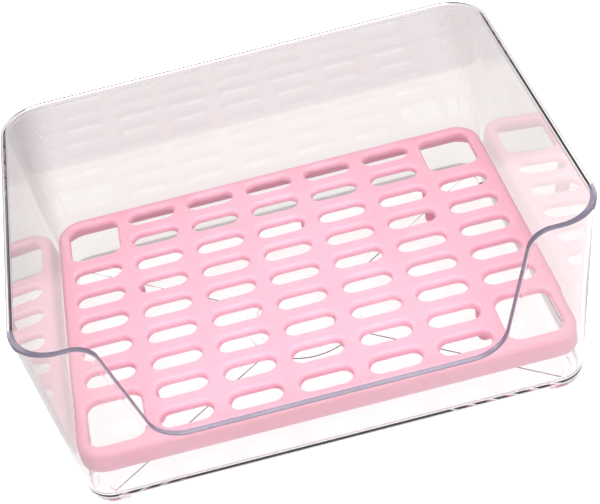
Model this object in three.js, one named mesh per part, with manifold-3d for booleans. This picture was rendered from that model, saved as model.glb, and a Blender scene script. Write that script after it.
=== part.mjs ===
// Refrigerator storage bin: a clear drafted tub with a scooped front, and a slotted
// drain tray that stands inside it on moulded legs. Millimetres, +Z up.
// The origin is at the middle of the bin's footprint, on the plane of its feet.
// The low front faces -Y.
import * as THREE from "three";
import { ParametricGeometry } from "three/addons/geometries/ParametricGeometry.js";
import { mergeVertices } from "three/addons/utils/BufferGeometryUtils.js";
import Module from "manifold-3d";

// Tub, outside
const RIM_LENGTH = 279;
const RIM_DEPTH = 209;
const TUB_HEIGHT = 116.5;
const FOOT_HEIGHT = 2.2;
const BASE_LENGTH = 263.8;
const BASE_DEPTH = 193.8;
const BASE_CORNER_R = 16;
const BASE_EDGE_R = 3;
const WALL = 2.2;
const FLOOR = 2;
const FLOOR_FILLET_R = 4;

// Rim bead, which follows the whole top edge
const BEAD_DEPTH = 3.4;
const BEAD_OUT = 1;

// Scooped front: a low lip joined to the full height by steep flanks
const LIP_HEIGHT = 41;
const FLANK_TOP_X = 101.9;
const FLANK_LOW_X = 85.9;
const SCOOP_TOP_R = 12;
const SCOOP_LOW_R = 18;

// Corner feet, and the flow ribs moulded under the floor
const FOOT_WIDTH = 4;
const FOOT_INSET = 1.6;
const FOOT_RUN = 5.5;
const RIB_WIDTH = 5;
const RIB_HEIGHT = 0.8;
const RIB_REACH = 148;
const RING_OUTER_R = 33;
const RING_INNER_R = 27.5;

// Drain tray
const TRAY_LENGTH = 260.4;
const TRAY_DEPTH = 190.8;
const TRAY_CORNER_R = 15.5;
const TRAY_TOP = 36.5;
const PLATE = 4.2;
const SKIRT_DROP = 12.2;
const SKIRT_WALL = 1.8;
const SKIRT_DRAFT = 0.06;
const TRAY_EDGE_R = 3;

// Drain slots
const COLUMNS = 7;
const ROWS = 9;
const COLUMN_PITCH = 36;
const ROW_PITCH = 20.6;
const SLOT_LENGTH = 27;
const SLOT_WIDTH = 11;

// Finger holes, which take the place of two slots in each corner
const FINGER_LENGTH = 29;
const FINGER_DEPTH = 31;
const FINGER_R = 6.5;

// Legs under the tray, placed in column and row pitches from the middle
const LEG_R = 4;
const LEG_TOP_R = 4.3;
const LEG_SPOTS = [
  [-2.5, -2.5],
  [2.5, -2.5],
  [-2.5, 2.5],
  [2.5, 2.5],
  [0.5, 3.5],
  [-0.5, -3.5],
  [0.5, -1.5],
  [-0.5, 1.5],
];
const GAP = 0.3;

const wasm = await Module();
wasm.setup();

// A closed three.js geometry as a solid that can be joined and cut.
function solid(geometry) {
  const bare = geometry.clone();
  bare.deleteAttribute("normal");
  bare.deleteAttribute("uv");
  const merged = mergeVertices(bare, 1e-3);
  return new wasm.Manifold(
    new wasm.Mesh({
      numProp: 3,
      vertProperties: new Float32Array(merged.attributes.position.array),
      triVerts: new Uint32Array(merged.index.array),
    }),
  );
}

// A joined solid as a named mesh.
function meshOf(name, body, material) {
  const made = body.getMesh();
  const geometry = new THREE.BufferGeometry();
  geometry.setAttribute("position", new THREE.BufferAttribute(made.vertProperties, 3));
  geometry.setIndex(new THREE.BufferAttribute(made.triVerts, 1));
  geometry.computeVertexNormals();
  const mesh = new THREE.Mesh(geometry, material);
  mesh.name = name;
  return mesh;
}

function roundedRect(length, depth, radius) {
  const x = length / 2;
  const y = depth / 2;
  const shape = new THREE.Shape();
  shape.moveTo(-x + radius, -y);
  shape.lineTo(x - radius, -y);
  shape.absarc(x - radius, -y + radius, radius, -Math.PI / 2, 0);
  shape.lineTo(x, y - radius);
  shape.absarc(x - radius, y - radius, radius, 0, Math.PI / 2);
  shape.lineTo(-x + radius, y);
  shape.absarc(-x + radius, y - radius, radius, Math.PI / 2, Math.PI);
  shape.lineTo(-x, -y + radius);
  shape.absarc(-x + radius, -y + radius, radius, Math.PI, Math.PI * 1.5);
  return shape;
}

function slab(shape, low, high, curveSegments) {
  const geometry = new THREE.ExtrudeGeometry(shape, {
    depth: high - low,
    bevelEnabled: false,
    curveSegments,
  });
  geometry.translate(0, 0, low);
  return geometry;
}

// Stations run once round a rounded rectangle, counter-clockwise seen from above.
// Each has a point on the rectangle, the outward normal, and the top edge there.
function cornerStations(cx, cy, radius, from, steps, height) {
  const list = [];
  for (let i = 0; i <= steps; i++) {
    const a = from + (i / steps) * (Math.PI / 2);
    const nx = Math.cos(a);
    const ny = Math.sin(a);
    list.push({ x: cx + radius * nx, y: cy + radius * ny, nx, ny, z: height, dx: 0, dz: -1 });
  }
  return list;
}

function straightStations(a, b, steps) {
  const list = [];
  for (let i = 1; i < steps; i++) {
    const t = i / steps;
    list.push({ ...a, x: a.x + (b.x - a.x) * t, y: a.y + (b.y - a.y) * t });
  }
  return list;
}

// A closed skin swept round the stations: section(station) gives one closed loop of
// points, each as [x, y, z], with the same number of points at every station.
function sweptRing(stations, section) {
  const loops = stations.map(section);
  const sides = loops[0].length;
  const n = loops.length;
  const point = (u, v, target) => {
    const loop = loops[Math.round(u * n) % n];
    target.set(...loop[Math.round(v * sides) % sides]);
  };
  return new ParametricGeometry(point, n, sides);
}

// The scoop's edge in the plane of the front wall, from the left corner to the right.
function scoopEdge() {
  const lean = Math.atan2(FLANK_TOP_X - FLANK_LOW_X, TUB_HEIGHT - LIP_HEIGHT);
  const turn = Math.PI / 2 - lean;
  const topRun = SCOOP_TOP_R * Math.tan(turn / 2);
  const lowRun = SCOOP_LOW_R * Math.tan(turn / 2);
  const half = [];
  // each point is [x, z, the direction into the material as (dx, dz)], for x below zero
  for (let i = 0; i <= 8; i++) {
    const a = Math.PI / 2 - (i / 8) * turn;
    half.push([
      -(FLANK_TOP_X + topRun) + SCOOP_TOP_R * Math.cos(a),
      TUB_HEIGHT - SCOOP_TOP_R + SCOOP_TOP_R * Math.sin(a),
      -Math.cos(a),
      -Math.sin(a),
    ]);
  }
  const [x1, z1, dx, dz] = half[half.length - 1];
  const low = [];
  for (let i = 0; i <= 8; i++) {
    const a = Math.PI + lean + (i / 8) * turn;
    low.push([
      -(FLANK_LOW_X - lowRun) + SCOOP_LOW_R * Math.cos(a),
      LIP_HEIGHT + SCOOP_LOW_R + SCOOP_LOW_R * Math.sin(a),
      Math.cos(a),
      Math.sin(a),
    ]);
  }
  for (let i = 1; i < 4; i++) {
    const t = i / 4;
    half.push([x1 + (low[0][0] - x1) * t, z1 + (low[0][1] - z1) * t, dx, dz]);
  }
  half.push(...low);
  half.push([-36, LIP_HEIGHT, 0, -1]);
  const right = half.map(([x, z, ux, uz]) => [-x, z, -ux, uz]).reverse();
  return [...half, [0, LIP_HEIGHT, 0, -1], ...right];
}

function tubStations() {
  const x = BASE_LENGTH / 2 - BASE_CORNER_R;
  const y = BASE_DEPTH / 2 - BASE_CORNER_R;
  const corner = (cx, cy, from) => cornerStations(cx, cy, BASE_CORNER_R, from, 8, TUB_HEIGHT);
  const frontRight = corner(x, -y, -Math.PI / 2);
  const backRight = corner(x, y, 0);
  const backLeft = corner(-x, y, Math.PI / 2);
  const frontLeft = corner(-x, -y, Math.PI);
  const front = scoopEdge().map(([ex, ez, dx, dz]) => ({
    x: ex,
    y: -BASE_DEPTH / 2,
    nx: 0,
    ny: -1,
    z: ez,
    dx,
    dz,
  }));
  return [
    ...front,
    ...frontRight,
    ...straightStations(frontRight[8], backRight[0], 3),
    ...backRight,
    ...straightStations(backRight[8], backLeft[0], 4),
    ...backLeft,
    ...straightStations(backLeft[8], frontLeft[0], 3),
    ...frontLeft,
  ];
}

// Wall section: [distance from the top edge, offset outwards] for the bead, then
// [height, offset outwards] for the rest, all measured from the drafted outer face.
const WALL_DRAFT = (RIM_LENGTH / 2 - BEAD_OUT - BASE_LENGTH / 2) / (TUB_HEIGHT - FOOT_HEIGHT);
const BEAD_SECTION = [
  [BEAD_DEPTH, 0],
  [BEAD_DEPTH - 0.7, BEAD_OUT],
  [0.9, BEAD_OUT],
  [0.25, BEAD_OUT * 0.6],
  [0, 0],
  [0, 0.5 - WALL],
  [0.5, -WALL],
  [BEAD_DEPTH, -WALL],
];

function footSection() {
  const points = [];
  const floorTop = FOOT_HEIGHT + FLOOR;
  for (let i = 0; i <= 3; i++) {
    const a = (i / 3) * (Math.PI / 2);
    const out = -WALL - FLOOR_FILLET_R * (1 - Math.cos(a));
    points.push([floorTop + FLOOR_FILLET_R * (1 - Math.sin(a)), out]);
  }
  points.push([floorTop, -9]);
  points.push([FOOT_HEIGHT, -9]);
  for (let i = 0; i <= 3; i++) {
    const a = (i / 3) * (Math.PI / 2);
    const out = -BASE_EDGE_R * (1 - Math.sin(a));
    points.push([FOOT_HEIGHT + BASE_EDGE_R * (1 - Math.cos(a)), out]);
  }
  return points;
}

function tubSection(station) {
  const { x, y, nx, ny, z, dx, dz } = station;
  const place = (px, height, out) => {
    const off = WALL_DRAFT * (height - FOOT_HEIGHT) + out;
    return [px + nx * off, y + ny * off, height];
  };
  const bead = BEAD_SECTION.map(([w, out]) => place(x + dx * w, z + dz * w, out));
  const rest = footSection().map(([height, out]) => place(x + dx * BEAD_DEPTH, height, out));
  return [...bead, ...rest];
}

// A corner foot: a strip under the edge of the floor, round one corner.
function footShape() {
  const x = BASE_LENGTH / 2 - BASE_CORNER_R;
  const y = BASE_DEPTH / 2 - BASE_CORNER_R;
  const outer = BASE_CORNER_R - FOOT_INSET;
  const inner = outer - FOOT_WIDTH;
  const shape = new THREE.Shape();
  shape.moveTo(x + outer, y - FOOT_RUN);
  shape.lineTo(x + outer, y);
  shape.absarc(x, y, outer, 0, Math.PI / 2);
  shape.lineTo(x - FOOT_RUN, y + outer);
  shape.lineTo(x - FOOT_RUN, y + inner);
  shape.lineTo(x, y + inner);
  shape.absarc(x, y, inner, Math.PI / 2, 0, true);
  shape.lineTo(x + inner, y - FOOT_RUN);
  return shape;
}

function ringProfile(inner, outer, low, high) {
  return [
    new THREE.Vector2(inner, low),
    new THREE.Vector2(outer, low),
    new THREE.Vector2(outer, high),
    new THREE.Vector2(inner, high),
    new THREE.Vector2(inner, low),
  ];
}

function buildTub() {
  const floorTop = FOOT_HEIGHT + FLOOR;
  const ribLow = FOOT_HEIGHT - RIB_HEIGHT;
  let tub = solid(sweptRing(tubStations(), tubSection));
  if (tub.volume() < 0) throw new Error("the tub wall's section runs the wrong way round");
  const inset = 8;
  const floorShape = roundedRect(
    BASE_LENGTH - 2 * inset,
    BASE_DEPTH - 2 * inset,
    BASE_CORNER_R - inset,
  );
  tub = tub.add(solid(slab(floorShape, FOOT_HEIGHT, floorTop, 4)));
  const foot = footShape();
  for (const [mx, my] of [[1, 1], [-1, 1], [-1, -1], [1, -1]]) {
    const geometry = slab(foot, 0, FOOT_HEIGHT + 0.6, 4);
    const turned = mx * my < 0;
    geometry.scale(mx, my, 1);
    if (turned) {
      // a mirrored foot has its faces turned round
      const p = geometry.attributes.position;
      for (let i = 0; i < p.count; i += 3) {
        const a = [p.getX(i), p.getY(i), p.getZ(i)];
        p.setXYZ(i, p.getX(i + 1), p.getY(i + 1), p.getZ(i + 1));
        p.setXYZ(i + 1, ...a);
      }
    }
    tub = tub.add(solid(geometry));
  }
  const ring = new THREE.LatheGeometry(
    ringProfile(RING_INNER_R, RING_OUTER_R, ribLow, FOOT_HEIGHT + 0.6),
    48,
  );
  ring.rotateX(Math.PI / 2);
  tub = tub.add(solid(ring));
  const lean = Math.atan2(BASE_DEPTH, BASE_LENGTH);
  for (const angle of [lean, Math.PI - lean, Math.PI + lean, -lean]) {
    const mid = (RING_OUTER_R + RIB_REACH) / 2 - 1;
    const rib = new THREE.BoxGeometry(RIB_REACH - RING_OUTER_R + 2, RIB_WIDTH, RIB_HEIGHT + 0.6);
    rib.translate(mid, 0, ribLow + (RIB_HEIGHT + 0.6) / 2);
    rib.rotateZ(angle);
    tub = tub.add(solid(rib));
  }
  return tub;
}

function trayStations() {
  const x = TRAY_LENGTH / 2 - TRAY_CORNER_R;
  const y = TRAY_DEPTH / 2 - TRAY_CORNER_R;
  const corner = (cx, cy, from) => cornerStations(cx, cy, TRAY_CORNER_R, from, 8, TRAY_TOP);
  return [
    ...corner(x, -y, -Math.PI / 2),
    ...corner(x, y, 0),
    ...corner(-x, y, Math.PI / 2),
    ...corner(-x, -y, Math.PI),
  ];
}

// The tray's rounded edge and skirt, as offsets from the skirt's lower outer edge.
function traySection(station) {
  const low = TRAY_TOP - SKIRT_DROP;
  const under = TRAY_TOP - PLATE;
  const shift = (height) => -SKIRT_DRAFT * (height - low);
  const points = [[-5, under], [-5, TRAY_TOP]];
  points.reverse();
  const section = [];
  for (let i = 0; i <= 4; i++) {
    const a = (i / 4) * (Math.PI / 2);
    const height = TRAY_TOP - TRAY_EDGE_R * (1 - Math.sin(a));
    section.push([shift(height) - TRAY_EDGE_R * (1 - Math.cos(a)), height]);
  }
  section.push(...points);
  section.push([shift(under) - SKIRT_WALL - 1.2, under]);
  section.push([shift(under - 1.2) - SKIRT_WALL, under - 1.2]);
  section.push([-SKIRT_WALL, low]);
  section.push([0, low]);
  return section.map(([out, height]) => [
    station.x + station.nx * out,
    station.y + station.ny * out,
    height,
  ]);
}

function slotHole(cx, cy) {
  const r = SLOT_WIDTH / 2;
  const x = SLOT_LENGTH / 2 - r;
  const hole = new THREE.Path();
  hole.moveTo(cx - x, cy - r);
  hole.lineTo(cx + x, cy - r);
  hole.absarc(cx + x, cy, r, -Math.PI / 2, Math.PI / 2);
  hole.lineTo(cx - x, cy + r);
  hole.absarc(cx - x, cy, r, Math.PI / 2, Math.PI * 1.5);
  return hole;
}

function fingerHole(cx, cy) {
  const shape = roundedRect(FINGER_LENGTH, FINGER_DEPTH, FINGER_R);
  const points = shape.getPoints(5);
  return new THREE.Path(points.map((p) => new THREE.Vector2(p.x + cx, p.y + cy)));
}

function plateGeometry() {
  const inset = 3.6;
  const shape = roundedRect(
    TRAY_LENGTH - 2 * inset,
    TRAY_DEPTH - 2 * inset,
    TRAY_CORNER_R - inset,
  );
  const lastColumn = (COLUMNS - 1) / 2;
  const lastRow = (ROWS - 1) / 2;
  for (let c = -lastColumn; c <= lastColumn; c++) {
    for (let r = -lastRow; r <= lastRow; r++) {
      const corner = Math.abs(c) === lastColumn && Math.abs(r) >= lastRow - 1;
      if (!corner) shape.holes.push(slotHole(c * COLUMN_PITCH, r * ROW_PITCH));
    }
  }
  for (const sx of [-1, 1]) {
    for (const sy of [-1, 1]) {
      const cy = sy * (lastRow - 0.5) * ROW_PITCH;
      shape.holes.push(fingerHole(sx * lastColumn * COLUMN_PITCH, cy));
    }
  }
  return slab(shape, TRAY_TOP - PLATE, TRAY_TOP, 3);
}

function buildTray() {
  let tray = solid(sweptRing(trayStations(), traySection));
  if (tray.volume() < 0) throw new Error("the tray skirt's section runs the wrong way round");
  tray = tray.add(solid(plateGeometry()));
  const legLow = FOOT_HEIGHT + FLOOR + GAP;
  const legTop = TRAY_TOP - PLATE + 0.8;
  const profile = [
    new THREE.Vector2(0, legLow),
    new THREE.Vector2(LEG_R - 1, legLow),
    new THREE.Vector2(LEG_R, legLow + 1),
    new THREE.Vector2(LEG_TOP_R, legTop),
    new THREE.Vector2(0, legTop),
  ];
  for (const [column, row] of LEG_SPOTS) {
    const leg = new THREE.LatheGeometry(profile, 16);
    leg.rotateX(Math.PI / 2);
    leg.translate(column * COLUMN_PITCH, row * ROW_PITCH, 0);
    tray = tray.add(solid(leg));
  }
  return tray;
}

const clearPlastic = new THREE.MeshStandardMaterial({
  name: "clear_plastic",
  color: 0xf4f1f3,
  roughness: 0.06,
  metalness: 0,
  transparent: true,
  opacity: 0.3,
});
const pinkPlastic = new THREE.MeshStandardMaterial({
  name: "pink_plastic",
  color: 0xf9bdd6,
  roughness: 0.45,
  metalness: 0,
});

const bin = new THREE.Group();
bin.name = "fridge_bin";
bin.add(meshOf("tub", buildTub(), clearPlastic));
bin.add(meshOf("drain_tray", buildTray(), pinkPlastic));

export default bin;
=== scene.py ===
import math

import bmesh
import bpy
from mathutils import Matrix, Vector
from mathutils.geometry import delaunay_2d_cdt


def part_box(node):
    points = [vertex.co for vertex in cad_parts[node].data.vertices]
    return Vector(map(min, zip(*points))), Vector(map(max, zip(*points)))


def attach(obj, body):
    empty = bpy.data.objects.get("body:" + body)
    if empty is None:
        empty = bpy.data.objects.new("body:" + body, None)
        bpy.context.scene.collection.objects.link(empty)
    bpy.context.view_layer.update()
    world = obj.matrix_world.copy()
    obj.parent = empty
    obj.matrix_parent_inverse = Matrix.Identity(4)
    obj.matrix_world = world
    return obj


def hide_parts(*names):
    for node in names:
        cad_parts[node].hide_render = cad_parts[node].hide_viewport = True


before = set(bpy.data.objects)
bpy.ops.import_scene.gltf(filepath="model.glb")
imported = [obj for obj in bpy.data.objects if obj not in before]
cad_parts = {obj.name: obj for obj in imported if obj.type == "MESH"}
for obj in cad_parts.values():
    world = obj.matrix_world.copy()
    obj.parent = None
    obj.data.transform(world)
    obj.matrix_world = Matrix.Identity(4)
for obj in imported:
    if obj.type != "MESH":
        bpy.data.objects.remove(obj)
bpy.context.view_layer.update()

# The fine visual model of a refrigerator bin: a clear tub and the pink drain tray in it.
# Lengths are millimetres in the sections below, and MM turns them into Blender's metres.
MM = 0.001
INSIDE_WITH_HOLES = 2


def size_mm(node):
    low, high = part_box(node)
    return [(high[i] - low[i]) / MM for i in range(3)]


# Tub
RIM_LENGTH, _, TUB_HEIGHT = size_mm("tub")
FOOT_HEIGHT = 2.2
BASE_LENGTH = 263.8
BASE_DEPTH = 193.8
BASE_CORNER_R = 16
BASE_EDGE_R = 3
WALL = 2.2
FLOOR = 2
FLOOR_TOP = FOOT_HEIGHT + FLOOR
FLOOR_FILLET_R = 4
FLOOR_REACH = 9
BEAD_DEPTH = 3.4
BEAD_OUT = 1
BEAD_CROWN_R = 0.95
BEAD_INNER_R = 0.7
BEAD_UNDER_R = 0.35
BEAD_REACH = BEAD_DEPTH + BEAD_UNDER_R
LIP_HEIGHT = 41
FLANK_TOP_X = 101.9
FLANK_LOW_X = 85.9
SCOOP_TOP_R = 12
SCOOP_LOW_R = 18
SCOOP_FLAT_X = 34
WALL_DRAFT = (RIM_LENGTH / 2 - BEAD_OUT - BASE_LENGTH / 2) / (TUB_HEIGHT - FOOT_HEIGHT)

# Material slots of the tub: the clear wall, the scoop's edge in painted dark shade and the base
# edge in painted grey shade
CLEAR, EDGE_PAINTED_SHADE, BASE_PAINTED_SHADE = 0, 1, 2

# Feet and flow ribs under the tub's floor
FOOT_WIDTH = 4
FOOT_INSET = 1.6
FOOT_RUN = 5.5
RIB_WIDTH = 5
RIB_HEIGHT = 0.8
RIB_REACH = 148
RING_OUTER_R = 33
RING_INNER_R = 27.5
SUNK = 0.5

# Drain tray
TRAY_LENGTH, TRAY_DEPTH, _ = size_mm("drain_tray")
TRAY_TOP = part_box("drain_tray")[1][2] / MM
TRAY_CORNER_R = 15.5
PLATE = 4.2
SKIRT_DROP = 12.2
SKIRT_WALL = 1.8
SKIRT_DRAFT = 0.06
TRAY_EDGE_R = 3
COLUMNS = 7
ROWS = 9
COLUMN_PITCH = 36
ROW_PITCH = 20.6
SLOT_LENGTH = 27
SLOT_WIDTH = 11
ROLL_OUT = 2.2
ROLL_DOWN = 2.7
FINGER_LENGTH = 29
FINGER_DEPTH = 31
FINGER_R = 6.5
LEG_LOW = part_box("drain_tray")[0][2] / MM
LEG_R = 4
LEG_TOP_R = 4.3
LEG_SUNK = 0.7
# half of the legs, in pitches from the middle; the others stand half a turn round
LEG_SPOTS = [(2.5, 2.5), (-2.5, 2.5), (0.5, 3.5), (-0.5, 1.5)]


# ---------------------------------------------------------------- mesh helpers


def arc(cx, cy, radius, start, end, steps):
    """Points of a round stretch, both ends included; the angles are in degrees."""
    points = []
    for i in range(steps + 1):
        a = math.radians(start + (end - start) * i / steps)
        points.append((cx + radius * math.cos(a), cy + radius * math.sin(a)))
    return points


def arc_ellipse(cx, cy, rx, ry, start, end, steps):
    """The same for an ellipse with half axes rx and ry."""
    return [(cx + rx * x, cy + ry * y) for x, y in arc(0, 0, 1, start, end, steps)]


def rounded_rect(length, depth, radius, steps):
    """Outline of a rounded rectangle about the origin, counter-clockwise."""
    x = length / 2 - radius
    y = depth / 2 - radius
    points = []
    for cx, cy, start in ((x, -y, -90), (x, y, 0), (-x, y, 90), (-x, -y, 180)):
        points += arc(cx, cy, radius, start, start + 90, steps)
    return points


def add_loop(bm, points):
    return [bm.verts.new(Vector(p) * MM) for p in points]


def strip(bm, lower, upper, slots=None):
    """Joins two closed loops of equal length with a band of quads.

    slots gives each point's material slot; a quad is clear where either end of it is.
    """
    n = len(lower)
    for i in range(n):
        j = (i + 1) % n
        face = bm.faces.new((lower[i], lower[j], upper[j], upper[i]))
        if slots:
            face.material_index = slots[i] and slots[j]


def fill_flat(bm, outline, holes, up):
    """Fills a level outline, less its holes, with triangles on the loops' own vertices."""
    verts = list(outline)
    loops = [list(range(len(outline)))]
    for hole in holes:
        first = len(verts)
        verts += hole
        loops.append(list(range(first, len(verts))))
    flat = [Vector((v.co.x, v.co.y)) / MM for v in verts]
    made = delaunay_2d_cdt(flat, [], loops, INSIDE_WITH_HOLES, 1e-5)
    for tri in made[2]:
        corners = [verts[made[3][k][0]] for k in tri]
        side = (corners[1].co - corners[0].co).cross(corners[2].co - corners[0].co).z
        if (side > 0) != up:
            corners.reverse()
        bm.faces.new(corners)


def to_object(bm, name, materials, sharp_angle):
    mesh = bpy.data.meshes.new(name)
    bm.normal_update()
    bm.to_mesh(mesh)
    bm.free()
    for polygon in mesh.polygons:
        polygon.use_smooth = True
    mesh.set_sharp_from_angle(angle=math.radians(sharp_angle))
    for material in materials:
        mesh.materials.append(material)
    piece = bpy.data.objects.new(name, mesh)
    bpy.context.scene.collection.objects.link(piece)
    return piece


def join_solids(piece, bm_parts):
    """Joins extra closed solids into a piece, so that it stays one clean body."""
    mesh = bpy.data.meshes.new("extra")
    bm_parts.to_mesh(mesh)
    bm_parts.free()
    extra = bpy.data.objects.new("extra", mesh)
    bpy.context.scene.collection.objects.link(extra)
    union = piece.modifiers.new("join", "BOOLEAN")
    union.operation = "UNION"
    union.solver = "EXACT"
    union.use_self = True
    union.object = extra
    apply_modifiers(piece)
    bpy.data.objects.remove(extra)


def apply_modifiers(piece):
    graph = bpy.context.evaluated_depsgraph_get()
    made = bpy.data.meshes.new_from_object(piece.evaluated_get(graph), depsgraph=graph)
    old = piece.data
    piece.modifiers.clear()
    piece.data = made
    bpy.data.meshes.remove(old)


def smooth_by_area(piece, sharp_angle):
    """Keeps flat faces flat and lets the round stretches between them shade smoothly."""
    for polygon in piece.data.polygons:
        polygon.use_smooth = True
    piece.data.set_sharp_from_angle(angle=math.radians(sharp_angle))
    weighted = piece.modifiers.new("face_weight", "WEIGHTED_NORMAL")
    weighted.keep_sharp = True
    weighted.weight = 100


# ---------------------------------------------------------------- the tub


def corner_stations(cx, cy, start, on_front, steps=14):
    """Stations round a corner: base point, its normal, top edge with its direction, slot."""
    r = BASE_CORNER_R
    made = []
    for nx, ny in arc(0, 0, 1, start, start + 90, steps):
        # the front corners' bead crown carries the scoop edge's painted shade
        slot = EDGE_PAINTED_SHADE if on_front else CLEAR
        made.append((cx + r * nx, cy + r * ny, nx, ny, TUB_HEIGHT, 0, -1, slot))
    return made


def between(a, b, steps):
    """Stations along the straight wall between two corners."""
    made = []
    for i in range(1, steps):
        t = i / steps
        made.append((a[0] + (b[0] - a[0]) * t, a[1] + (b[1] - a[1]) * t) + a[2:7] + (CLEAR,))
    return made


def scoop_edge(steps=14):
    """The scoop's edge as (x, z, direction into the material), from left to right."""
    lean = math.atan2(FLANK_TOP_X - FLANK_LOW_X, TUB_HEIGHT - LIP_HEIGHT)
    turn = math.pi / 2 - lean
    top_x = FLANK_TOP_X + SCOOP_TOP_R * math.tan(turn / 2)
    low_x = FLANK_LOW_X - SCOOP_LOW_R * math.tan(turn / 2)
    half = []
    for i in range(steps + 1):
        a = math.pi / 2 - turn * i / steps
        c, s = math.cos(a), math.sin(a)
        half.append((-top_x + SCOOP_TOP_R * c, TUB_HEIGHT - SCOOP_TOP_R * (1 - s), -c, -s))
    low = []
    for i in range(steps + 1):
        a = math.pi + lean + turn * i / steps
        c, s = math.cos(a), math.sin(a)
        low.append((-low_x + SCOOP_LOW_R * c, LIP_HEIGHT + SCOOP_LOW_R * (1 + s), c, s))
    x1, z1, dx, dz = half[-1]
    for i in range(1, 6):
        t = i / 6
        half.append((x1 + (low[0][0] - x1) * t, z1 + (low[0][1] - z1) * t, dx, dz))
    half += low
    half.append((-SCOOP_FLAT_X, LIP_HEIGHT, 0, -1))
    right = [(-x, z, -dx, dz) for x, z, dx, dz in reversed(half)]
    return half + [(0, LIP_HEIGHT, 0, -1)] + right


def tub_stations():
    """Stations all round the tub, from the left end of the scoop, counter-clockwise."""
    x = BASE_LENGTH / 2 - BASE_CORNER_R
    y = BASE_DEPTH / 2 - BASE_CORNER_R
    front_y = -BASE_DEPTH / 2
    front = [(ex, front_y, 0, -1, ez, dx, dz, EDGE_PAINTED_SHADE) for ex, ez, dx, dz in scoop_edge()]
    front_right = corner_stations(x, -y, -90, True)
    back_right = corner_stations(x, y, 0, False)
    back_left = corner_stations(-x, y, 90, False)
    front_left = corner_stations(-x, -y, 180, True)
    return (
        front
        + front_right
        + between(front_right[-1], back_right[0], 4)
        + back_right
        + between(back_right[-1], back_left[0], 5)
        + back_left
        + between(back_left[-1], front_left[0], 4)
        + front_left
    )


# the stretch of the bead's section that is its crown, counted in points of bead_section
BEAD_CROWN_FROM = 7
BEAD_CROWN_TO = 16


def bead_section():
    """(distance from the top edge, offset outwards), from under the bead to its inside."""
    points = [(BEAD_REACH, 0), (BEAD_DEPTH + 0.08, 0.06)]
    points += arc(BEAD_DEPTH - 0.45, BEAD_OUT - BEAD_UNDER_R, BEAD_UNDER_R, 20, 90, 3)
    points += arc(BEAD_CROWN_R, BEAD_OUT - BEAD_CROWN_R, BEAD_CROWN_R, 90, 180, 6)
    points += arc(BEAD_INNER_R, BEAD_INNER_R - WALL, BEAD_INNER_R, 180, 270, 5)
    points.append((BEAD_REACH, -WALL))
    return points


def foot_section():
    """(height, offset outwards): the floor's fillet inside, then the base edge outside."""
    r = FLOOR_FILLET_R
    inside = arc(FLOOR_TOP + r, -WALL - r, r, 90, 180, 7)
    outside = arc(FOOT_HEIGHT + BASE_EDGE_R, -BASE_EDGE_R, BASE_EDGE_R, 180, 90, 6)
    return inside, outside


def build_tub(materials):
    """The tub as one skin, from the middle of its underside over the rim to its floor."""
    bm = bmesh.new()
    stations = tub_stations()

    def loop_at(height_of, out):
        points = []
        for st in stations:
            x, y, nx, ny = st[:4]
            px, height = height_of(st)
            off = WALL_DRAFT * (height - FOOT_HEIGHT) + out
            points.append((px + nx * off, y + ny * off, height))
        return add_loop(bm, points)

    def bead_loop(w, out):
        return loop_at(lambda st: (st[0] + st[5] * w, st[4] + st[6] * w), out)

    def wall_loop(height, out):
        return loop_at(lambda st: (st[0] + st[5] * BEAD_REACH, height), out)

    inside, outside = foot_section()
    loops = [wall_loop(FOOT_HEIGHT, -FLOOR_REACH)]
    loops += [wall_loop(height, out) for height, out in outside]
    loops += [bead_loop(w, out) for w, out in bead_section()]
    loops += [wall_loop(height, out) for height, out in inside]
    loops.append(wall_loop(FLOOR_TOP, -FLOOR_REACH))
    # the bead's crown along the scoop takes the painted dark shade, and the base edge the painted
    # grey shade
    on_front = [st[7] for st in stations]
    first_bead = 1 + len(outside)
    crown = range(first_bead + BEAD_CROWN_FROM, first_bead + BEAD_CROWN_TO)
    all_base = [BASE_PAINTED_SHADE] * len(stations)
    for k in range(len(loops) - 1):
        slots = on_front if k in crown else None
        if 1 <= k < len(outside):
            slots = all_base
        strip(bm, loops[k], loops[k + 1], slots)
    fill_flat(bm, loops[0], [], False)
    fill_flat(bm, loops[-1], [], True)
    bmesh.ops.recalc_face_normals(bm, faces=bm.faces)
    tub = to_object(bm, "tub_shell", materials, 40)
    join_solids(tub, build_underside())
    smooth_by_area(tub, 40)
    return tub


def prism(bm, outline, low, high):
    bottom = add_loop(bm, [(x, y, low) for x, y in outline])
    top = add_loop(bm, [(x, y, high) for x, y in outline])
    strip(bm, bottom, top)
    bm.faces.new(list(reversed(bottom)))
    bm.faces.new(top)


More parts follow.
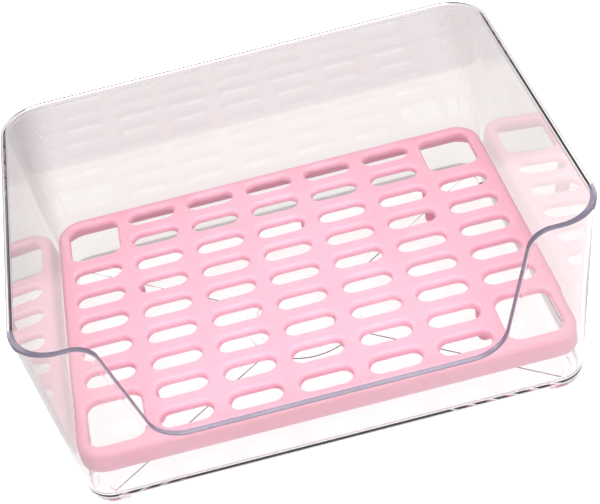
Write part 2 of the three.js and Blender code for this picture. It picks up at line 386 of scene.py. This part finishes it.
def build_underside():
    """The corner feet, the diagonal flow ribs and the ring under the tub's floor."""
    bm = bmesh.new()
    x = BASE_LENGTH / 2 - BASE_CORNER_R
    y = BASE_DEPTH / 2 - BASE_CORNER_R
    outer = BASE_CORNER_R - FOOT_INSET
    inner = outer - FOOT_WIDTH
    foot = [(x + outer, y - FOOT_RUN)]
    foot += arc(x, y, outer, 0, 90, 12)
    foot.append((x - FOOT_RUN, y + outer))
    foot.append((x - FOOT_RUN, y + inner))
    foot += arc(x, y, inner, 90, 0, 12)
    foot.append((x + inner, y - FOOT_RUN))
    for mx, my in ((1, 1), (-1, 1), (-1, -1), (1, -1)):
        outline = [(px * mx, py * my) for px, py in foot]
        if mx * my < 0:
            outline.reverse()
        prism(bm, outline, 0, FOOT_HEIGHT + SUNK)
    rib_low = FOOT_HEIGHT - RIB_HEIGHT
    lean = math.atan2(BASE_DEPTH, BASE_LENGTH)
    for angle in (lean, math.pi - lean, math.pi + lean, -lean):
        c, s = math.cos(angle), math.sin(angle)
        w = RIB_WIDTH / 2
        ends = ((RING_OUTER_R - 2, -w), (RIB_REACH, -w), (RIB_REACH, w), (RING_OUTER_R - 2, w))
        prism(bm, [(u * c - v * s, u * s + v * c) for u, v in ends], rib_low, FOOT_HEIGHT + SUNK)
    rings = []
    for r, z in (
        (RING_INNER_R, rib_low),
        (RING_OUTER_R, rib_low),
        (RING_OUTER_R, FOOT_HEIGHT + SUNK),
        (RING_INNER_R, FOOT_HEIGHT + SUNK),
    ):
        rings.append(add_loop(bm, [(px, py, z) for px, py in arc(0, 0, r, 0, 355, 71)]))
    for k in range(4):
        strip(bm, rings[k], rings[(k + 1) % 4])
    bmesh.ops.recalc_face_normals(bm, faces=bm.faces)
    return bm


# ---------------------------------------------------------------- the drain tray


def slot_outline(cx, cy, grow):
    x = SLOT_LENGTH / 2 - SLOT_WIDTH / 2
    r = SLOT_WIDTH / 2 + grow
    return arc(cx + x, cy, r, -90, 90, 14) + arc(cx - x, cy, r, 90, 270, 14)


def finger_outline(cx, cy, grow):
    shape = rounded_rect(FINGER_LENGTH + 2 * grow, FINGER_DEPTH + 2 * grow, FINGER_R + grow, 10)
    return [(cx + x, cy + y) for x, y in shape]


def rolled_hole(bm, outline_at):
    """A hole whose upper edge rolls down into it. Returns its loops on the two faces."""
    low = TRAY_TOP - PLATE
    profile = [(0.3, low), (0.08, low + 0.08), (0, low + 0.3)]
    profile += arc_ellipse(ROLL_OUT, TRAY_TOP - ROLL_DOWN, ROLL_OUT, ROLL_DOWN, 180, 90, 8)
    loops = []
    for grow, z in profile:
        loops.append(add_loop(bm, [(x, y, z) for x, y in outline_at(grow)]))
    for k in range(len(loops) - 1):
        strip(bm, loops[k + 1], loops[k])
    return loops[0], loops[-1]


def skirt_profile():
    """(offset outwards, height), from the top face over the edge and round to underneath."""
    low = TRAY_TOP - SKIRT_DROP
    under = TRAY_TOP - PLATE
    points = []
    for out, z in arc(-TRAY_EDGE_R, TRAY_TOP - TRAY_EDGE_R, TRAY_EDGE_R, 90, 0, 8):
        points.append((out - SKIRT_DRAFT * (z - low), z))
    points.append((-SKIRT_DRAFT * 0.4, low + 0.4))
    points.append((-0.12, low + 0.1))
    points.append((-0.4, low))
    points.append((-SKIRT_WALL + 0.35, low))
    points.append((-SKIRT_WALL, low + 0.35))
    for out, z in arc(-SKIRT_WALL - 1.2, under - 1.2, 1.2, 0, 90, 4):
        points.append((out - SKIRT_DRAFT * (z - low), z))
    return points


def build_tray(materials):
    """The tray: its rolled holes first, then the skirt, then the two faces between them."""
    bm = bmesh.new()
    last_column = (COLUMNS - 1) / 2
    last_row = (ROWS - 1) / 2
    lower = []
    upper = []

    def cut(outline, cx, cy):
        low, high = rolled_hole(bm, lambda grow: outline(cx, cy, grow))
        lower.append(low)
        upper.append(high)

    for c in range(COLUMNS):
        for r in range(ROWS):
            column = c - last_column
            row = r - last_row
            if abs(column) == last_column and abs(row) >= last_row - 1:
                continue
            cut(slot_outline, column * COLUMN_PITCH, row * ROW_PITCH)
    for sx in (-1, 1):
        for sy in (-1, 1):
            cut(finger_outline, sx * last_column * COLUMN_PITCH, sy * (last_row - 0.5) * ROW_PITCH)

    loops = []
    for out, z in skirt_profile():
        shape = rounded_rect(TRAY_LENGTH + 2 * out, TRAY_DEPTH + 2 * out, TRAY_CORNER_R + out, 16)
        loops.append(add_loop(bm, [(x, y, z) for x, y in shape]))
    for k in range(len(loops) - 1):
        strip(bm, loops[k], loops[k + 1])
    fill_flat(bm, loops[0], upper, True)
    fill_flat(bm, loops[-1], lower, False)
    bmesh.ops.recalc_face_normals(bm, faces=bm.faces)
    tray = to_object(bm, "tray_body", materials, 50)
    join_solids(tray, build_legs())
    smooth_by_area(tray, 50)
    return tray


def build_legs():
    """The eight legs, each a round post with a blunt foot."""
    bm = bmesh.new()
    top = TRAY_TOP - PLATE + LEG_SUNK
    profile = [(LEG_R - 1.2, LEG_LOW), (LEG_R - 0.5, LEG_LOW + 0.25), (LEG_R - 0.1, LEG_LOW + 0.8)]
    profile += [(LEG_R, LEG_LOW + 1.4), (LEG_TOP_R, top)]
    for column, row in LEG_SPOTS + [(-x, -y) for x, y in LEG_SPOTS]:
        x = column * COLUMN_PITCH
        y = row * ROW_PITCH
        loops = []
        for r, z in profile:
            loops.append(add_loop(bm, [(px, py, z) for px, py in arc(x, y, r, 0, 350, 35)]))
        for k in range(len(loops) - 1):
            strip(bm, loops[k], loops[k + 1])
        bm.faces.new(list(reversed(loops[0])))
        bm.faces.new(loops[-1])
    return bm


# ---------------------------------------------------------------- materials


class Nodes:
    """A material's node tree with short ways to add and link its nodes."""

    def __init__(self, name):
        self.material = bpy.data.materials.new(name)
        self.material.use_nodes = True
        self.tree = self.material.node_tree
        self.tree.nodes.clear()
        self.output = self.tree.nodes.new("ShaderNodeOutputMaterial")
        self.shader = self.tree.nodes.new("ShaderNodeBsdfPrincipled")
        self.link(self.shader.outputs["BSDF"], self.output.inputs["Surface"])
        self.place = self.tree.nodes.new("ShaderNodeTexCoord").outputs["Object"]

    def link(self, a, b):
        self.tree.links.new(a, b)

    def set(self, **values):
        for name, value in values.items():
            self.shader.inputs[name.replace("_", " ")].default_value = value

    def noise(self, scale, detail=3.0, roughness=0.5):
        node = self.tree.nodes.new("ShaderNodeTexNoise")
        node.inputs["Scale"].default_value = scale
        node.inputs["Detail"].default_value = detail
        node.inputs["Roughness"].default_value = roughness
        self.link(self.place, node.inputs["Vector"])
        return node.outputs["Fac"]

    def ramp(self, value, stops):
        node = self.tree.nodes.new("ShaderNodeValToRGB")
        elements = node.color_ramp.elements
        elements[0].position, elements[0].color = stops[0]
        elements[1].position, elements[1].color = stops[-1]
        for position, color in stops[1:-1]:
            elements.new(position).color = color
        self.link(value, node.inputs["Fac"])
        return node.outputs["Color"]

    def spread(self, value, low, high):
        node = self.tree.nodes.new("ShaderNodeMapRange")
        node.inputs["From Min"].default_value = 0.3
        node.inputs["From Max"].default_value = 0.7
        node.inputs["To Min"].default_value = low
        node.inputs["To Max"].default_value = high
        self.link(value, node.inputs["Value"])
        return node.outputs["Result"]

    def bump(self, height, distance, strength, under=None):
        node = self.tree.nodes.new("ShaderNodeBump")
        node.inputs["Distance"].default_value = distance
        node.inputs["Strength"].default_value = strength
        self.link(height, node.inputs["Height"])
        if under is not None:
            self.link(under, node.inputs["Normal"])
        return node.outputs["Normal"]


def clear_plastic():
    """Polished clear plastic with a faint tint that shows where light runs along a wall."""
    n = Nodes("clear_plastic")
    n.set(Transmission_Weight=1.0, IOR=1.5)
    tint = n.ramp(n.noise(9), [(0.3, (0.94, 0.915, 0.915, 1)), (0.7, (0.965, 0.94, 0.94, 1))])
    n.link(tint, n.shader.inputs["Base Color"])
    n.link(n.spread(n.noise(60, 4), 0.0, 0.02), n.shader.inputs["Roughness"])
    flow = n.bump(n.noise(16, 1), 0.0004, 0.10)
    n.link(flow, n.shader.inputs["Normal"])
    body = n.tree.nodes.new("ShaderNodeVolumeAbsorption")
    body.inputs["Color"].default_value = (0.60, 0.55, 0.68, 1)
    body.inputs["Density"].default_value = 3.5
    n.link(body.outputs["Volume"], n.output.inputs["Volume"])
    return n.material


def clear_base_painted_shade():
    """The finely textured edge that the bin stands over, its grey a painted shade for the thin grey
    line that light shows along the base.
    """
    n = Nodes("clear_base_painted_shade")
    n.set(Transmission_Weight=0.6, IOR=1.5)
    tint = n.ramp(n.noise(60), [(0.3, (0.70, 0.68, 0.71, 1)), (0.7, (0.80, 0.78, 0.80, 1))])
    n.link(tint, n.shader.inputs["Base Color"])
    n.link(n.spread(n.noise(90, 4), 0.3, 0.45), n.shader.inputs["Roughness"])
    n.link(n.bump(n.noise(900, 2), 0.00005, 0.3), n.shader.inputs["Normal"])
    return n.material


def clear_edge_painted_shade():
    """The cut edge of the scoop, painted dark purple grey: painted shade for the dark band that
    light running inside the wall shows there.
    """
    n = Nodes("clear_edge_painted_shade")
    n.set(Transmission_Weight=0.55, IOR=1.5)
    tint = n.ramp(n.noise(40), [(0.3, (0.30, 0.26, 0.37, 1)), (0.7, (0.36, 0.32, 0.43, 1))])
    n.link(tint, n.shader.inputs["Base Color"])
    n.link(n.spread(n.noise(80, 4), 0.10, 0.2), n.shader.inputs["Roughness"])
    n.link(n.bump(n.noise(30, 2), 0.0002, 0.1), n.shader.inputs["Normal"])
    return n.material


def pink_plastic():
    """Satin pastel plastic, a little translucent, with a fine moulded grain."""
    n = Nodes("pink_plastic")
    tint = n.ramp(n.noise(22, 4), [(0.3, (0.945, 0.435, 0.525, 1)), (0.7, (0.96, 0.465, 0.555, 1))])
    n.link(tint, n.shader.inputs["Base Color"])
    n.set(Subsurface_Weight=0.85, Subsurface_Scale=0.012, IOR=1.49)
    n.shader.inputs["Subsurface Radius"].default_value = (1.0, 0.45, 0.55)
    n.link(n.spread(n.noise(140, 5), 0.38, 0.5), n.shader.inputs["Roughness"])
    grain = n.bump(n.noise(1800, 2), 0.00005, 0.25)
    n.link(n.bump(n.noise(45, 2), 0.0003, 0.15, grain), n.shader.inputs["Normal"])
    return n.material


# ---------------------------------------------------------------- the pieces

clear = clear_plastic()
pink = pink_plastic()

tub = build_tub([clear, clear_edge_painted_shade(), clear_base_painted_shade()])
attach(tub, "tub")
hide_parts("tub")

tray = build_tray([pink])
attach(tray, "drain_tray")
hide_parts("drain_tray")


# ---------------------------------------------------------------- floor, light and camera

# the floor's painted light and shadow by its distance towards the back, in metres: painted bright
# in front, then a painted faint shadow of the bin, which starts and deepens at straight edges
# behind it, with a thin darker painted line in it
FLOOR_SPAN = 0.3
FLOOR_PAINTED_SHADOW = [
    (-0.22, (1, 0.98, 0.98)),
    (-0.12, (0.76, 0.75, 0.75)),
    (0.085, (0.70, 0.69, 0.68)),
    (0.10, (0.54, 0.535, 0.525)),
    (0.2035, (0.54, 0.535, 0.525)),
    (0.2075, (0.455, 0.445, 0.445)),
    (0.2515, (0.455, 0.445, 0.445)),
    (0.2535, (0.42, 0.41, 0.415)),
    (0.2555, (0.455, 0.445, 0.445)),
]
# painted shade beside the bin: how much darker the floor is there, by the distance to the right
FLOOR_PAINTED_SIDE_SHADE = [(-0.165, 0.55), (-0.150, 0.76), (-0.135, 1), (0.145, 1), (0.165, 0.88)]
FLOOR_GLOW = 1.5
FLOOR_HALF = 4
FLOOR_GAP = 0.0002
LIGHT_AIM = (0, 0, 0.03)


def stage_floor():
    """A floor that looks plain white to the camera. What shows through the clear walls, and lights
    the bin, is a painted soft shadow of the bin on it.
    """
    mesh = bpy.data.meshes.new("floor")
    half = FLOOR_HALF
    corners = [(-half, -half, 0), (half, -half, 0), (half, half, 0), (-half, half, 0)]
    mesh.from_pydata(corners, [], [(0, 1, 2, 3)])
    floor = bpy.data.objects.new("floor", mesh)
    bpy.context.scene.collection.objects.link(floor)
    floor.location.z = -FLOOR_GAP
    n = Nodes("white_floor_painted_shadow")
    n.set(Base_Color=(0.12, 0.12, 0.12, 1), Roughness=0.9)
    split = n.tree.nodes.new("ShaderNodeSeparateXYZ")
    n.link(n.place, split.inputs["Vector"])

    def painted_shade_along(axis, stops):
        """Painted light and shade by the distance along one axis, each stop a distance and a
        colour.
        """
        span = n.tree.nodes.new("ShaderNodeMapRange")
        span.inputs["From Min"].default_value = -FLOOR_SPAN
        span.inputs["From Max"].default_value = FLOOR_SPAN
        n.link(split.outputs[axis], span.inputs["Value"])
        places = [(0.5 + place / FLOOR_SPAN / 2, color) for place, color in stops]
        return n.ramp(span.outputs["Result"], places)

    # painted shadow towards the back, multiplied by painted shade beside the bin
    depth = painted_shade_along("Y", [(y, color + (1,)) for y, color in FLOOR_PAINTED_SHADOW])
    painted_side_shade = painted_shade_along("X", [(x, (dim, dim * 0.99, dim * 0.99, 1)) for x, dim in FLOOR_PAINTED_SIDE_SHADE])
    painted_shadow_mix = n.tree.nodes.new("ShaderNodeMix")
    painted_shadow_mix.data_type = "RGBA"
    painted_shadow_mix.blend_type = "MULTIPLY"
    painted_shadow_mix.inputs["Factor"].default_value = 1
    n.link(depth, painted_shadow_mix.inputs[6])
    n.link(painted_side_shade, painted_shadow_mix.inputs[7])
    # the camera sees the floor plain white; every other ray, through the walls and onto the bin,
    # meets the painted light and shadow
    path = n.tree.nodes.new("ShaderNodeLightPath")
    seen = n.tree.nodes.new("ShaderNodeMix")
    seen.data_type = "RGBA"
    n.link(path.outputs["Is Camera Ray"], seen.inputs["Factor"])
    n.link(painted_shadow_mix.outputs[2], seen.inputs[6])
    seen.inputs[7].default_value = (1, 1, 1, 1)
    n.link(seen.outputs[2], n.shader.inputs["Emission Color"])
    n.set(Emission_Strength=FLOOR_GLOW)
    mesh.materials.append(n.material)


def softbox(name, place, size, watts, color):
    """A soft rectangular light, aimed at the middle of the bin."""
    data = bpy.data.lights.new(name, "AREA")
    data.shape = "RECTANGLE"
    data.size, data.size_y = size
    data.energy = watts
    data.color = color
    lamp = bpy.data.objects.new(name, data)
    lamp.location = place
    aim = Vector(LIGHT_AIM) - Vector(place)
    lamp.rotation_euler = aim.to_track_quat("-Z", "Y").to_euler()
    bpy.context.scene.collection.objects.link(lamp)


HORIZON = (0.74, 0.69, 0.74, 1)
OVERHEAD = (1, 0.99, 1, 1)
OVERHEAD_FROM = 0.75
STUDIO_STRENGTH = 0.88


def studio_world(strength):
    """A soft studio: light from overhead, and a dim purple grey low down all round."""
    world = bpy.data.worlds.new("studio")
    world.use_nodes = True
    nodes = world.node_tree.nodes
    links = world.node_tree.links
    place = nodes.new("ShaderNodeTexCoord")
    split = nodes.new("ShaderNodeSeparateXYZ")
    links.new(place.outputs["Generated"], split.inputs["Vector"])
    ramp = nodes.new("ShaderNodeValToRGB")
    ramp.color_ramp.elements[0].position = 0.0
    ramp.color_ramp.elements[0].color = HORIZON
    ramp.color_ramp.elements[1].position = OVERHEAD_FROM
    ramp.color_ramp.elements[1].color = OVERHEAD
    links.new(split.outputs["Z"], ramp.inputs["Fac"])
    back = nodes["Background"]
    links.new(ramp.outputs["Color"], back.inputs["Color"])
    back.inputs["Strength"].default_value = strength
    bpy.context.scene.world = world


# the camera's place in metres and its angles in degrees
CAMERA_PLACE = (-0.0275, -0.5204, 0.4998)
CAMERA_AZIMUTH = 1.08
CAMERA_ELEVATION = 40.6
CAMERA_ROLL = 13.53
CAMERA_LENS = 76.2
CAMERA_SHIFT = (0.0705, 0.0085)


def photo_camera():
    """A camera on the front side, raised about 41 degrees and rolled about 14."""
    azimuth = math.radians(CAMERA_AZIMUTH)
    elevation = math.radians(CAMERA_ELEVATION)
    roll = math.radians(CAMERA_ROLL)
    ahead = Vector(
        (
            math.sin(azimuth) * math.cos(elevation),
            math.cos(azimuth) * math.cos(elevation),
            -math.sin(elevation),
        )
    )
    right = Vector((math.cos(azimuth), -math.sin(azimuth), 0))
    up = right.cross(ahead)
    side = right * math.cos(roll) - up * math.sin(roll)
    top = right * math.sin(roll) + up * math.cos(roll)
    data = bpy.data.cameras.new("camera")
    data.sensor_width = 36
    data.lens = CAMERA_LENS
    data.shift_x, data.shift_y = CAMERA_SHIFT
    camera = bpy.data.objects.new("camera", data)
    turn = Matrix((side, top, -ahead)).transposed()
    camera.matrix_world = Matrix.Translation(CAMERA_PLACE) @ turn.to_4x4()
    bpy.context.scene.collection.objects.link(camera)
    bpy.context.scene.camera = camera


stage_floor()
studio_world(STUDIO_STRENGTH)
softbox("overhead", (0.0, 0.05, 1.3), (0.8, 0.6), 8.5, (1, 1, 1))
softbox("front", (0.1, -1.3, 0.45), (1.3, 0.6), 9, (1, 0.97, 0.96))
photo_camera()
bpy.context.scene.view_settings.view_transform = "Standard"

# light runs far along the inside of a clear wall before it leaves, so it may bounce often
bpy.context.scene.cycles.max_bounces = 200
bpy.context.scene.cycles.transmission_bounces = 200
bpy.context.scene.cycles.glossy_bounces = 12
